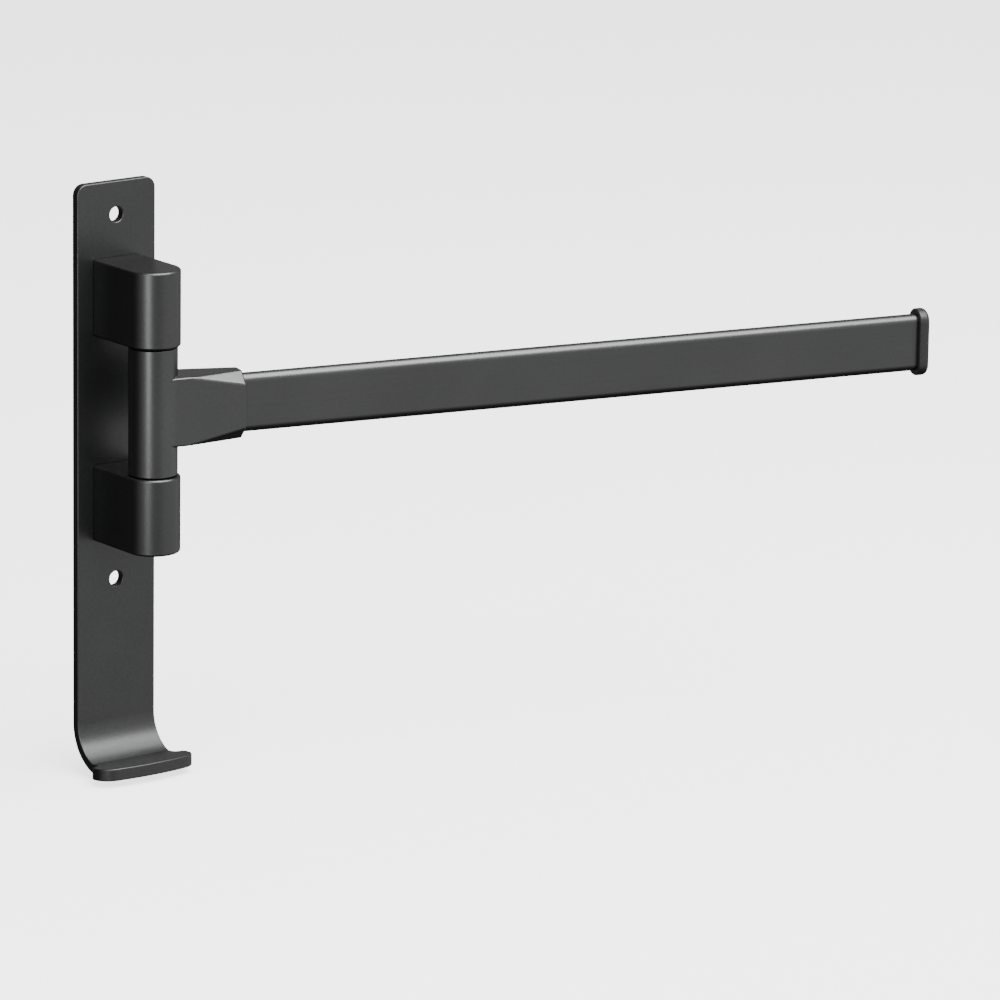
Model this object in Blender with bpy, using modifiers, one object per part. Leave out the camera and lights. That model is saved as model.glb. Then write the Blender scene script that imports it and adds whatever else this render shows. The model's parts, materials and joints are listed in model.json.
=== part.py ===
"""A wall-mounted swivel towel rack in satin charcoal aluminium.

A narrow wall plate, bent forward at its foot into a small hook, carries two lugs. A pivot pin through the
lugs holds a T-shaped socket, and the socket holds a flat-sided towel bar with an end cap. The socket
turns on two flanged bushes, and a wave washer gives it the friction that keeps the bar where it is put.

Metres, +Z up. The origin is on the back face of the wall plate, on its centre line, level with the middle
of the hinge. +X runs along the wall towards the bar's end, and +Y runs into the wall.
"""

import math

import bmesh
import bpy

# Gaps between pieces
SEAT_GAP = 0.0003
RUNNING_CLEARANCE = 0.00006

# Wall plate, from the top down
PLATE_WIDTH = 0.035
PLATE_THICKNESS = 0.0035
PLATE_CORNER_RADIUS = 0.0042
PLATE_END_MARGIN = 0.0127
WALL_HOLE_DIAMETER = 0.0058
WALL_HOLE_TO_LUG = 0.016

# Hook at the foot of the plate
HOOK_DROP = 0.0544
HOOK_INNER_RADIUS = 0.0141
HOOK_CREASE_REACH = 0.0098
HOOK_REACH = 0.0256
HOOK_RISE = math.radians(5)
LIP_THICKNESS = 0.0048
LIP_OVERHANG = 0.0038
LIP_FLARE_SETBACK = 0.0015
LIP_FLARE_LENGTH = 0.0055
LIP_CORNER_RADIUS = 0.0055
LIP_BOW_RADIUS = 0.090

# Lugs
LUG_WIDTH = 0.0206
LUG_HEIGHT = 0.0294
LUG_EDGE_RADIUS = 0.0010
PIVOT_STANDOFF = 0.0242

# Screws that hold each lug, put in from behind the plate
LUG_SCREW_DIAMETER = 0.004
LUG_SCREW_LENGTH = 0.012
LUG_SCREW_HEAD_DIAMETER = 0.0076
LUG_SCREW_HEAD_HEIGHT = 0.0020
LUG_SCREW_SPACING = 0.016
LUG_SCREW_KEY = 0.0025
LUG_SCREW_RECESS = 0.0002

# Pivot
PIN_DIAMETER = 0.008
PIN_DEPTH_IN_UPPER_LUG = 0.020
PIN_CHAMFER = 0.0006
PLUG_DIAMETER = 0.010
PLUG_LENGTH = 0.0048
PLUG_RECESS = 0.0002
PLUG_KEY = 0.005
PLUG_KEY_DEPTH = 0.003
BUSH_WALL = 0.0012
BUSH_LENGTH = 0.012
BUSH_FLANGE_RADIUS = 0.0072
BUSH_FLANGE_THICKNESS = 0.0010
BUSH_FLANGE_PROUD = 0.0001
THRUST_WASHER_THICKNESS = 0.0006
WAVE_WASHER_SHEET = 0.0004
WAVE_WASHER_RISE = 0.0002
WAVE_WASHER_WAVES = 3

# Towel bar, a tube whose top and bottom edges are rounded over its whole thickness
BAR_THICKNESS = 0.0064
BAR_HEIGHT = 0.0225
BAR_EDGE_FLAT = 0.0004
BAR_WALL = 0.0012
ARM_REACH = 0.3243
REST_SWING = math.radians(12.8)

# Swivel socket
KNUCKLE_DIAMETER = 0.0185
KNUCKLE_HEIGHT = 0.0486
COLLAR_LENGTH = 0.0347
COLLAR_SIDE_WALL = 0.0041
COLLAR_TOP_WALL = 0.0019
COLLAR_ROOT_FLARE = 0.0006
COLLAR_ROOT_FILLET = 0.006
COLLAR_CHAMFER = 0.0047
COLLAR_CHAMFER_START = 0.0116
COLLAR_CHAMFER_LEAST = 0.0003
COLLAR_MOUTH_ROUND = 0.0008
COLLAR_INSET = 0.00005
SOCKET_DEPTH = 0.0222

# Set screws that hold the bar, from below
SET_SCREW_DIAMETER = 0.003
SET_SCREW_FROM_MOUTH = (0.0150, 0.0070)
SET_SCREW_RECESS = 0.0005
SET_SCREW_BITE = 0.0006
SET_SCREW_KEY = 0.0015
SET_SCREW_KEY_DEPTH = 0.0012

# End cap
CAP_OVERHANG = 0.0021
CAP_THICKNESS = 0.0044
CAP_NOSE_RADIUS = 0.0016
CAP_BACK_RADIUS = 0.0007
SPIGOT_LENGTH = 0.014
SPIGOT_LEAD = 0.0006

# Fineness of the round surfaces
TURN_STEPS = 48
SMALL_TURN_STEPS = 24
CORNER_STEPS = 6
OVERRUN = 0.002

# Places that follow from the sizes
JOINT_GAP = BUSH_FLANGE_PROUD + SEAT_GAP
LUG_INNER = KNUCKLE_HEIGHT / 2 + JOINT_GAP
LUG_OUTER = LUG_INNER + LUG_HEIGHT
LUG_MIDDLE = (LUG_INNER + LUG_OUTER) / 2
WALL_HOLE = LUG_OUTER + WALL_HOLE_TO_LUG
PLATE_TOP = WALL_HOLE + PLATE_END_MARGIN
BEND = -(WALL_HOLE + HOOK_DROP)
PIVOT_Y = -(PLATE_THICKNESS + PIVOT_STANDOFF)
PIN_RADIUS = PIN_DIAMETER / 2
BORE_RADIUS = PIN_RADIUS + RUNNING_CLEARANCE
PIN_TOP = LUG_INNER + PIN_DEPTH_IN_UPPER_LUG - SEAT_GAP
PLUG_TOP = -(LUG_OUTER - PLUG_RECESS - PLUG_LENGTH)
PIN_BOTTOM = PLUG_TOP + SEAT_GAP
WAVE_WASHER_HEIGHT = WAVE_WASHER_SHEET + 2 * WAVE_WASHER_RISE
WASHER_POCKET = THRUST_WASHER_THICKNESS + WAVE_WASHER_HEIGHT + 2 * SEAT_GAP
KNUCKLE_RADIUS = KNUCKLE_DIAMETER / 2
COLLAR_HALF_HEIGHT = BAR_HEIGHT / 2 + COLLAR_TOP_WALL
BAR_CORNER_RADIUS = (BAR_THICKNESS - BAR_EDGE_FLAT) / 2
BAR_START = COLLAR_LENGTH - SOCKET_DEPTH + SEAT_GAP
CAP_BACK = ARM_REACH - CAP_THICKNESS
BAR_END = CAP_BACK - SEAT_GAP

ALONG_X = (math.radians(90), 0, math.radians(90))
HEAD_TO_WALL = (math.radians(-90), 0, 0)
HEAD_DOWN = (math.radians(180), 0, 0)


def new_collection(name):
    collection = bpy.data.collections.new(name)
    bpy.context.scene.collection.children.link(collection)
    return collection


def finish_material(name, colour, roughness, metallic):
    material = bpy.data.materials.new(name)
    material.use_nodes = True
    shader = material.node_tree.nodes["Principled BSDF"]
    shader.inputs["Base Color"].default_value = (*colour, 1)
    shader.inputs["Roughness"].default_value = roughness
    shader.inputs["Metallic"].default_value = metallic
    return material


def place(obj, location=(0, 0, 0), rotation=(0, 0, 0), parent=None):
    obj.parent = parent
    obj.location = location
    obj.rotation_euler = rotation
    bpy.context.view_layer.update()
    return obj


def as_part(obj, name, material):
    """Name a finished sub-part, shade its round surfaces smooth and give it its own material."""
    obj.name = name
    obj.data.name = name
    obj.data.materials.clear()
    obj.data.materials.append(material)
    obj.data.shade_smooth()
    obj.data.set_sharp_from_angle(angle=math.radians(35))
    for collection in list(obj.users_collection):
        collection.objects.unlink(obj)
    PARTS.objects.link(obj)
    return obj


def as_cutter(obj):
    obj.hide_render = True
    obj.display_type = "WIRE"
    for collection in list(obj.users_collection):
        collection.objects.unlink(obj)
    CUTTERS.objects.link(obj)
    return obj


def combine(target, other, operation="DIFFERENCE"):
    modifier = target.modifiers.new(other.name, "BOOLEAN")
    modifier.operation = operation
    modifier.solver = "EXACT"
    modifier.object = as_cutter(other)
    return target


def as_mesh(obj, keep_helpers=True):
    """Replace an object by the mesh that its modifiers or its curve make, with its caps welded."""
    bpy.context.view_layer.update()
    evaluated = obj.evaluated_get(bpy.context.evaluated_depsgraph_get())
    mesh = bpy.data.meshes.new_from_object(evaluated)
    shape = bmesh.new()
    shape.from_mesh(mesh)
    bmesh.ops.remove_doubles(shape, verts=shape.verts, dist=1e-7)
    bmesh.ops.recalc_face_normals(shape, faces=shape.faces)
    shape.to_mesh(mesh)
    shape.free()
    solid = bpy.data.objects.new(obj.name, mesh)
    bpy.context.scene.collection.objects.link(solid)
    place(solid, obj.location, obj.rotation_euler, obj.parent)
    helpers = [] if keep_helpers else [m.object for m in obj.modifiers if m.type == "BOOLEAN"]
    for spent in [obj, *helpers]:
        bpy.data.objects.remove(spent, do_unlink=True)
    return solid


def arc(centre, radius, start, end, steps):
    """Points on an arc between two angles in radians, both ends included."""
    angles = [start + (end - start) * i / steps for i in range(steps + 1)]
    return [(centre[0] + radius * math.cos(a), centre[1] + radius * math.sin(a)) for a in angles]


def rounded_rectangle(half_width, half_height, radius, steps=CORNER_STEPS):
    """Corner by corner, anticlockwise from the right-hand side of the upper right corner."""
    points = []
    for quarter, (sx, sy) in enumerate(((1, 1), (-1, 1), (-1, -1), (1, -1))):
        centre = (sx * (half_width - radius), sy * (half_height - radius))
        start = quarter * math.pi / 2
        points += arc(centre, radius, start, start + math.pi / 2, steps)
    return points


def flat_outline(name, loops, half_depth):
    """A flat shape with its holes, as thick as twice half_depth along its local Z."""
    curve = bpy.data.curves.new(name, "CURVE")
    curve.dimensions = "2D"
    curve.fill_mode = "BOTH"
    curve.extrude = half_depth
    for loop in loops:
        spline = curve.splines.new("POLY")
        spline.points.add(len(loop) - 1)
        spline.use_cyclic_u = True
        for point, (x, y) in zip(spline.points, loop):
            point.co = (x, y, 0, 1)
    obj = bpy.data.objects.new(name, curve)
    bpy.context.scene.collection.objects.link(obj)
    return obj


def turned(name, profile, steps=SMALL_TURN_STEPS, closed=False):
    """A profile of (radius, height) points, running down its outer side, turned about local Z."""
    mesh = bpy.data.meshes.new(name)
    shape = bmesh.new()
    verts = [shape.verts.new((radius, 0, height)) for radius, height in profile]
    for a, b in zip(verts, verts[1:] + verts[:1] if closed else verts[1:]):
        shape.edges.new((a, b))
    shape.to_mesh(mesh)
    shape.free()
    obj = bpy.data.objects.new(name, mesh)
    bpy.context.scene.collection.objects.link(obj)
    screw = obj.modifiers.new("turn", "SCREW")
    screw.steps = screw.render_steps = steps
    screw.use_merge_vertices = True
    screw.merge_threshold = 1e-6
    return obj


def rod(name, radius, low, high, steps=SMALL_TURN_STEPS):
    return turned(name, [(0, high), (radius, high), (radius, low), (0, low)], steps)


def ring(name, inner, outer, low, high, steps=TURN_STEPS):
    profile = [(outer, high), (outer, low), (inner, low), (inner, high)]
    return turned(name, profile, steps, closed=True)


def hexagon(name, across_flats, low, high):
    return rod(name, across_flats / math.sqrt(3), low, high, steps=6)


def loft(name, sections):
    """A closed skin over cross-sections of equal point count, each (x, [(y, z), ...])."""
    shape = bmesh.new()
    rings = [[shape.verts.new((x, y, z)) for y, z in outline] for x, outline in sections]
    count = len(rings[0])
    for near, far in zip(rings, rings[1:]):
        for i in range(count):
            j = (i + 1) % count
            shape.faces.new((near[i], near[j], far[j], far[i]))
    shape.faces.new(rings[0])
    shape.faces.new(rings[-1])
    bmesh.ops.recalc_face_normals(shape, faces=shape.faces)
    mesh = bpy.data.meshes.new(name)
    shape.to_mesh(mesh)
    shape.free()
    obj = bpy.data.objects.new(name, mesh)
    bpy.context.scene.collection.objects.link(obj)
    return obj


def hook_side_outline():
    """The plate and its hook seen from the side, as (y, z)."""
    centre = (-(PLATE_THICKNESS + HOOK_INNER_RADIUS), BEND)
    outer_radius = HOOK_INNER_RADIUS + PLATE_THICKNESS
    outer = arc(centre, outer_radius, 0, -math.pi / 2 - HOOK_RISE, 14)
    front = -(PLATE_THICKNESS + HOOK_REACH)
    foot = outer[-1][1] + (outer[-1][0] - front) * math.tan(HOOK_RISE)
    crease = -(PLATE_THICKNESS + HOOK_CREASE_REACH)
    crease_angle = -math.acos((crease - centre[0]) / HOOK_INNER_RADIUS)
    inner = arc(centre, HOOK_INNER_RADIUS, crease_angle, 0, 10)
    lip = [(front, foot), (front, foot + LIP_THICKNESS)]
    return [(0, PLATE_TOP), *outer, *lip, *inner, (-PLATE_THICKNESS, PLATE_TOP)]


def hook_plan_outline():
    """The plate and its hook seen from above, as (x, y): the lip flares past the plate and bows forward."""
    half = PLATE_WIDTH / 2
    lip_half = half + LIP_OVERHANG
    bow_centre = (0, LIP_BOW_RADIUS - PLATE_THICKNESS - HOOK_REACH)
    corner_x = lip_half - LIP_CORNER_RADIUS
    inner_bow = LIP_BOW_RADIUS - LIP_CORNER_RADIUS
    corner_y = bow_centre[1] - math.sqrt(inner_bow**2 - corner_x**2)
    tangent = math.atan2(corner_y - bow_centre[1], corner_x)
    flare_start = -(PLATE_THICKNESS + HOOK_CREASE_REACH + LIP_FLARE_SETBACK)
    flare = []
    for i in range(9):
        t = i / 8
        side = half + LIP_OVERHANG * (3 * t * t - 2 * t**3)
        flare.append((side, flare_start - LIP_FLARE_LENGTH * t))
    corner = arc((corner_x, corner_y), LIP_CORNER_RADIUS, 0, tangent, CORNER_STEPS)
    bow = arc(bow_centre, LIP_BOW_RADIUS, tangent, -math.pi / 2, 8)[1:]
    right = [(half, OVERRUN), *flare, *corner, *bow]
    left = [(-x, y) for x, y in reversed(right[:-1])]
    return right + left


def lug_screw_places():
    """(name, height) of the screws that hold the two lugs."""
    for lug, middle in (("upper", LUG_MIDDLE), ("lower", -LUG_MIDDLE)):
        for end, side in (("high", 1), ("low", -1)):
            yield f"{lug}_lug_screw_{end}", middle + side * LUG_SCREW_SPACING / 2


def is_top_corner(edge):
    """Whether an edge crosses the plate's thickness at one of its two top corners."""
    a, b = (vert.co for vert in edge.verts)
    at_corner = all(abs(c.z - PLATE_TOP) < 1e-5 and abs(c.x) > PLATE_WIDTH / 2 - 1e-5 for c in (a, b))
    return at_corner and abs(a.x - b.x) < 1e-6


def build_wall_plate(material):
    wide = PLATE_WIDTH / 2 + LIP_OVERHANG + OVERRUN
    side = flat_outline("plate_side", [hook_side_outline()], wide)
    blank = as_mesh(place(side, rotation=ALONG_X))
    plan = flat_outline("plate_plan", [hook_plan_outline()], PLATE_TOP - BEND)
    combine(blank, as_mesh(place(plan, location=(0, 0, BEND))), "INTERSECT")
    plate = as_mesh(blank, keep_helpers=False)
    plate.data.transform(plate.matrix_world)
    place(plate)
    shape = bmesh.new()
    shape.from_mesh(plate.data)
    bmesh.ops.dissolve_limit(shape, angle_limit=0.001, verts=shape.verts, edges=shape.edges)
    corners = [edge for edge in shape.edges if is_top_corner(edge)]
    bmesh.ops.bevel(shape, geom=corners, offset=PLATE_CORNER_RADIUS, segments=8, profile=0.5, affect="EDGES")
    shape.to_mesh(plate.data)
    shape.free()
    for name, height in (("upper_wall_hole", WALL_HOLE), ("lower_wall_hole", -WALL_HOLE)):
        hole = rod(name, WALL_HOLE_DIAMETER / 2, -OVERRUN, PLATE_THICKNESS + OVERRUN, TURN_STEPS)
        combine(plate, place(hole, (0, 0, height), (math.radians(90), 0, 0)))
    shank = LUG_SCREW_DIAMETER / 2 + SEAT_GAP
    head = LUG_SCREW_HEAD_DIAMETER / 2 + SEAT_GAP
    sink = LUG_SCREW_RECESS + LUG_SCREW_HEAD_HEIGHT
    profile = [(0, OVERRUN), (head, OVERRUN), (head, -LUG_SCREW_RECESS), (shank, -sink)]
    profile += [(shank, -PLATE_THICKNESS - OVERRUN), (0, -PLATE_THICKNESS - OVERRUN)]
    for name, height in lug_screw_places():
        combine(plate, place(turned(name + "_sink", profile), (0, 0, height), HEAD_TO_WALL))
    return as_part(plate, "wall_plate", material)


def lug_outline():
    half = LUG_WIDTH / 2
    back = -(PLATE_THICKNESS + SEAT_GAP)
    return [(half, back), *arc((0, PIVOT_Y), half, 0, -math.pi, TURN_STEPS // 2), (-half, back)]


def build_lug(name, side, material):
    """A lug on one side of the hinge's middle: side is 1 above it and -1 below."""
    lug = as_mesh(place(flat_outline(name, [lug_outline()], LUG_HEIGHT / 2), (0, 0, side * LUG_MIDDLE)))
    shape = bmesh.new()
    shape.from_mesh(lug.data)
    weight = shape.edges.layers.float.new("bevel_weight_edge")
    back = -(PLATE_THICKNESS + SEAT_GAP)
    for edge in shape.edges:
        level = abs(edge.verts[0].co.z - edge.verts[1].co.z) < 1e-6
        at_back = all(v.co.y > back - 1e-6 for v in edge.verts)
        edge[weight] = 1.0 if level and edge.calc_face_angle(0) > 1 and not at_back else 0.0
    shape.to_mesh(lug.data)
    shape.free()
    bevel = lug.modifiers.new("rim", "BEVEL")
    bevel.limit_method = "WEIGHT"
    bevel.width = LUG_EDGE_RADIUS
    bevel.segments = 3
    tip = PLATE_THICKNESS + LUG_SCREW_LENGTH + SEAT_GAP
    hole_radius = LUG_SCREW_DIAMETER / 2 + SEAT_GAP
    for screw, height in lug_screw_places():
        if height * side > 0:
            hole = rod(screw + "_hole", hole_radius, -tip, OVERRUN)
            combine(lug, place(hole, (0, 0, height), HEAD_TO_WALL))
    if side > 0:
        bore = rod("upper_bore", BORE_RADIUS, LUG_INNER - OVERRUN, PIN_TOP + SEAT_GAP, TURN_STEPS)
        return as_part(combine(lug, place(bore, (0, PIVOT_Y, 0))), name, material)
    pocket_radius = BUSH_FLANGE_RADIUS + SEAT_GAP
    plug_radius = PLUG_DIAMETER / 2 + SEAT_GAP
    floor = -LUG_INNER - WASHER_POCKET
    profile = [(0, OVERRUN - LUG_INNER), (pocket_radius, OVERRUN - LUG_INNER), (pocket_radius, floor)]
    profile += [(BORE_RADIUS, floor), (BORE_RADIUS, PIN_BOTTOM), (plug_radius, PIN_BOTTOM)]
    profile += [(plug_radius, -LUG_OUTER - OVERRUN), (0, -LUG_OUTER - OVERRUN)]
    bore = turned("lower_bore", profile, TURN_STEPS)
    return as_part(combine(lug, place(bore, (0, PIVOT_Y, 0))), name, material)


def build_lug_screws(material):
    shank = LUG_SCREW_DIAMETER / 2
    head = LUG_SCREW_HEAD_DIAMETER / 2
    top = -LUG_SCREW_RECESS
    tip = -LUG_SCREW_LENGTH
    profile = [(0, top), (head, top), (head, top - 0.0002), (shank, top - LUG_SCREW_HEAD_HEIGHT)]
    profile += [(shank, tip + shank / 4), (shank * 0.75, tip), (0, tip)]
    for name, height in lug_screw_places():
        screw = place(turned(name, profile), (0, 0, height), HEAD_TO_WALL)
        key = hexagon(name + "_key", LUG_SCREW_KEY, top - LUG_SCREW_HEAD_HEIGHT * 0.8, OVERRUN)
        combine(screw, place(key, (0, 0, height), HEAD_TO_WALL))
        as_part(screw, name, material)


def build_pivot(pin_material, plug_material, spring_material):
    axis = (0, PIVOT_Y, 0)
    tip = PIN_RADIUS - PIN_CHAMFER
    profile = [(0, PIN_TOP), (tip, PIN_TOP), (PIN_RADIUS, PIN_TOP - PIN_CHAMFER)]
    profile += [(PIN_RADIUS, PIN_BOTTOM + PIN_CHAMFER), (tip, PIN_BOTTOM), (0, PIN_BOTTOM)]
    as_part(place(turned("pivot_pin", profile, TURN_STEPS), axis), "pivot_pin", pin_material)

    bottom = PLUG_TOP - PLUG_LENGTH
    plug = place(rod("pin_plug", PLUG_DIAMETER / 2, bottom, PLUG_TOP, TURN_STEPS), axis)
    key = hexagon("pin_plug_key", PLUG_KEY, bottom - OVERRUN, bottom + PLUG_KEY_DEPTH)
    as_part(combine(plug, place(key, axis)), "pin_plug", plug_material)

    inner = BORE_RADIUS + SEAT_GAP
    top = -LUG_INNER
    under = top - THRUST_WASHER_THICKNESS
    washer = ring("thrust_washer", inner, BUSH_FLANGE_RADIUS, under, top)
    as_part(place(washer, axis), "thrust_washer", pin_material)

    middle = under - SEAT_GAP - WAVE_WASHER_HEIGHT / 2
    half_sheet = WAVE_WASHER_SHEET / 2
    wave = as_mesh(ring("wave_washer", inner, BUSH_FLANGE_RADIUS, middle - half_sheet, middle + half_sheet))
    for vert in wave.data.vertices:
        turn = math.atan2(vert.co.y, vert.co.x)
        vert.co.z += WAVE_WASHER_RISE * math.cos(WAVE_WASHER_WAVES * turn)
    as_part(place(wave, axis), "wave_washer", spring_material)


def build_bushes(material, arm):
    """Flanged bushes in the two ends of the knuckle, which turn on the pin."""
    outer = BORE_RADIUS + BUSH_WALL
    face = KNUCKLE_HEIGHT / 2 + BUSH_FLANGE_PROUD
    shoulder = face - BUSH_FLANGE_THICKNESS
    end = face - BUSH_LENGTH
    profile = [(BUSH_FLANGE_RADIUS, face), (BUSH_FLANGE_RADIUS, shoulder), (outer, shoulder)]
    profile += [(outer, end), (BORE_RADIUS, end), (BORE_RADIUS, face)]
    upper = turned("upper_bush", profile, TURN_STEPS, closed=True)
    as_part(place(upper, parent=arm), "upper_bush", material)
    lower = turned("lower_bush", profile, TURN_STEPS, closed=True)
    as_part(place(lower, rotation=HEAD_DOWN, parent=arm), "lower_bush", material)


def chamfered_rectangle(half_width, half_height, chamfer):
    """Anticlockwise from the lower end of the upper right chamfer."""
    w, h, c = half_width, half_height, chamfer
    corner = [(w, h - c), (w - c, h)]
    left = [(-y, z) for y, z in reversed(corner)]
    return corner + left + [(-y, -z) for y, z in corner + left]


def collar_half_thickness(x):
    """From the root fillet, tangent to the knuckle and to the collar's side, out to the mouth."""
    mouth = BAR_THICKNESS / 2 + COLLAR_SIDE_WALL
    side = mouth + COLLAR_ROOT_FLARE * (1 - x / COLLAR_LENGTH)
    reach = KNUCKLE_RADIUS + COLLAR_ROOT_FILLET
    centre = mouth + COLLAR_ROOT_FLARE + COLLAR_ROOT_FILLET
    fillet_x = math.sqrt(reach**2 - centre**2)
    if x >= fillet_x:
        return side
    fillet = centre - math.sqrt(COLLAR_ROOT_FILLET**2 - (fillet_x - x) ** 2)
    return max(side, fillet)


def collar_chamfer(x):
    """The chamfer on the collar's four long edges, which widens from nothing towards the mouth."""
    share = (x - COLLAR_CHAMFER_START) / (COLLAR_LENGTH - COLLAR_CHAMFER_START)
    return max(COLLAR_CHAMFER_LEAST, COLLAR_CHAMFER * share)


def collar_sections():
    """Sections from the pivot axis out to the mouth, whose rim is rounded."""
    reach = KNUCKLE_RADIUS + COLLAR_ROOT_FILLET
    centre = BAR_THICKNESS / 2 + COLLAR_SIDE_WALL + COLLAR_ROOT_FLARE + COLLAR_ROOT_FILLET
    fillet_end = math.sqrt(reach**2 - centre**2)
    tangent_x = fillet_end * KNUCKLE_RADIUS / reach
    tangent_y = centre * KNUCKLE_RADIUS / reach - COLLAR_INSET
    root = chamfered_rectangle(tangent_y, COLLAR_HALF_HEIGHT, COLLAR_CHAMFER_LEAST)
    sections = [(0, root), (tangent_x, root)]
    shoulder = COLLAR_LENGTH - COLLAR_MOUTH_ROUND
    stations = [tangent_x + (fillet_end - tangent_x) * i / 4 for i in range(1, 5)]
    stations += [COLLAR_CHAMFER_START, COLLAR_CHAMFER_START + OVERRUN, shoulder]
    for x in stations:
        outline = chamfered_rectangle(collar_half_thickness(x), COLLAR_HALF_HEIGHT, collar_chamfer(x))
        sections.append((x, outline))
    for step, rise in arc((0, 0), COLLAR_MOUTH_ROUND, math.pi / 2, 0, 3)[1:]:
        inset = COLLAR_MOUTH_ROUND - rise
        width = collar_half_thickness(shoulder) - inset
        outline = chamfered_rectangle(width, COLLAR_HALF_HEIGHT - inset, collar_chamfer(shoulder))
        sections.append((shoulder + step, outline))
    return sections


def bar_hole(name, x):
    """A hole up through the bar's lower wall for a set screw, at a distance from the pivot axis."""
    radius = SET_SCREW_DIAMETER / 2 + SEAT_GAP
    return rod(name, radius, -COLLAR_HALF_HEIGHT - OVERRUN, -BAR_HEIGHT / 2 + BAR_WALL + OVERRUN)


def set_screw_places():
    for end, from_mouth in zip(("inner", "outer"), SET_SCREW_FROM_MOUTH):
        yield f"bar_set_screw_{end}", COLLAR_LENGTH - from_mouth


def build_swivel_socket(material, arm):
    bpy.ops.mesh.primitive_cylinder_add(vertices=TURN_STEPS, radius=KNUCKLE_RADIUS, depth=KNUCKLE_HEIGHT)
    socket = place(bpy.context.object, parent=arm)
    combine(socket, place(loft("collar", collar_sections()), parent=arm), "UNION")
    half = KNUCKLE_HEIGHT / 2
    bore = BORE_RADIUS + BUSH_WALL + SEAT_GAP
    seat = BUSH_FLANGE_RADIUS + SEAT_GAP
    floor = half + BUSH_FLANGE_PROUD - BUSH_FLANGE_THICKNESS - SEAT_GAP
    profile = [(0, half + OVERRUN), (seat, half + OVERRUN), (seat, floor), (bore, floor)]
    profile += [(radius, -height) for radius, height in reversed(profile)]
    combine(socket, place(turned("knuckle_bore", profile, TURN_STEPS), parent=arm))
    inside = rounded_rectangle(
        BAR_THICKNESS / 2 + SEAT_GAP, BAR_HEIGHT / 2 + SEAT_GAP, BAR_CORNER_RADIUS + SEAT_GAP
    )
    low, high = COLLAR_LENGTH - SOCKET_DEPTH, COLLAR_LENGTH + OVERRUN
    pocket = flat_outline("bar_pocket", [inside], (high - low) / 2)
    combine(socket, as_mesh(place(pocket, ((low + high) / 2, 0, 0), ALONG_X, arm)))
    for name, x in set_screw_places():
        combine(socket, place(bar_hole(name + "_thread", x), (x, 0, 0), parent=arm))
    return as_part(socket, "swivel_socket", material)


def build_bar_tube(material, arm):
    outer = rounded_rectangle(BAR_THICKNESS / 2, BAR_HEIGHT / 2, BAR_CORNER_RADIUS)
    inner = rounded_rectangle(
        BAR_THICKNESS / 2 - BAR_WALL, BAR_HEIGHT / 2 - BAR_WALL, BAR_CORNER_RADIUS - BAR_WALL
    )
    half_length = (BAR_END - BAR_START) / 2
    tube = flat_outline("bar_tube", [outer, inner], half_length)
    tube = as_mesh(place(tube, ((BAR_START + BAR_END) / 2, 0, 0), ALONG_X, arm))
    for name, x in set_screw_places():
        combine(tube, place(bar_hole(name + "_bar_hole", x), (x, 0, 0), parent=arm))
    return as_part(tube, "bar_tube", material)


def build_set_screws(material, arm):
    """Each stands with its key socket down, just inside the collar, and its tip inside the bar."""
    radius = SET_SCREW_DIAMETER / 2
    tip = BAR_HEIGHT / 2 - BAR_WALL - SET_SCREW_BITE
    for name, x in set_screw_places():
        drive = COLLAR_HALF_HEIGHT - SET_SCREW_RECESS
        profile = [(0, drive), (radius, drive), (radius, tip + radius / 4), (radius * 0.75, tip), (0, tip)]
        screw = place(turned(name, profile), (x, 0, 0), HEAD_DOWN, arm)
        key = hexagon(name + "_key", SET_SCREW_KEY, drive - SET_SCREW_KEY_DEPTH, drive + OVERRUN)
        combine(screw, place(key, (x, 0, 0), HEAD_DOWN, arm))
        as_part(screw, name, material)


def cap_sections():
    """Spigot first, then the flange with a small round at its back and a fuller one at its nose."""
    spigot_y = BAR_THICKNESS / 2 - BAR_WALL - SEAT_GAP
    spigot_z = BAR_HEIGHT / 2 - BAR_WALL - SEAT_GAP
    spigot_corner = BAR_CORNER_RADIUS - BAR_WALL - SEAT_GAP
    tip = CAP_BACK - SPIGOT_LENGTH
    lead = rounded_rectangle(spigot_y - SPIGOT_LEAD, spigot_z - SPIGOT_LEAD, spigot_corner - SPIGOT_LEAD)
    body = rounded_rectangle(spigot_y, spigot_z, spigot_corner)
    sections = [(tip, lead), (tip + SPIGOT_LEAD, body), (CAP_BACK, body)]
    half_y = BAR_THICKNESS / 2 + CAP_OVERHANG
    half_z = BAR_HEIGHT / 2 + CAP_OVERHANG
    corner = BAR_CORNER_RADIUS + CAP_OVERHANG
    rounds = [(CAP_BACK + CAP_BACK_RADIUS, CAP_BACK_RADIUS, math.pi, math.pi / 2, 3)]
    rounds.append((ARM_REACH - CAP_NOSE_RADIUS, CAP_NOSE_RADIUS, math.pi / 2, 0, 5))
    for centre, radius, start, end, steps in rounds:
        for x, rise in arc((centre, 0), radius, start, end, steps):
            inset = radius - rise
            outline = rounded_rectangle(half_y - inset, half_z - inset, corner - inset)
            sections.append((x, outline))
    return sections


def build_end_cap(material, arm):
    return as_part(place(loft("end_cap", cap_sections()), parent=arm), "end_cap", material)


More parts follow.
